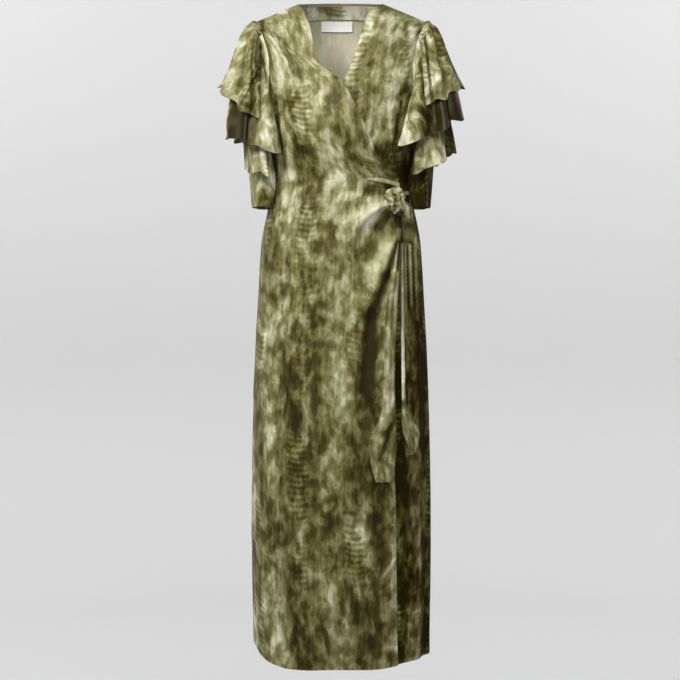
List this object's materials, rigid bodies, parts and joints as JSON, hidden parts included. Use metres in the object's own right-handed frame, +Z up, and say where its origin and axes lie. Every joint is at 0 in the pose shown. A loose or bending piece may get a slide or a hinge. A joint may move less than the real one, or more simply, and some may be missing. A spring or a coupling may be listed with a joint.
{
  "type": "long wrap dress with layered flounce sleeves, held in its worn form",
  "caption": "Long wrap dress, V neck, layered flounce sleeves, skirt draped from a knot at one side; empty, held in its worn form.",
  "frame": {"origin": "on the shoulder line, midway between the two neck points, where the wearer's shoulders hold the dress", "axes": "+Z up, the front faces -Y, +X is the wearer's left"},
  "size_m": [0.5193, 0.2777, 1.3724],
  "materials": {
    "printed_cloth": "satin",
    "printed_cloth_under": "satin",
    "printed_tie": "satin",
    "label_white": "matte"
  },
  "bodies": {
    "root": {"bodice_front_over": "printed_cloth", "bodice_front_under": "printed_cloth_under", "bodice_back": "printed_cloth_under", "skirt_front_over": "printed_cloth", "skirt_front_under": "printed_cloth_under", "skirt_back": "printed_cloth_under", "sleeve_left": "printed_cloth_under", "sleeve_right": "printed_cloth_under", "flounce_left_upper": "printed_cloth", "flounce_left_middle": "printed_cloth", "flounce_left_lower": "printed_cloth", "flounce_right_upper": "printed_cloth", "flounce_right_middle": "printed_cloth", "flounce_right_lower": "printed_cloth", "neck_facing_back": "printed_cloth_under", "label_blank": "label_white", "tie_knot": "printed_tie", "tie_strap_front": "printed_tie", "tie_strap_side": "printed_tie", "tie_end_long": "printed_tie", "tie_end_wide": "printed_tie"}
  },
  "joints": []
}
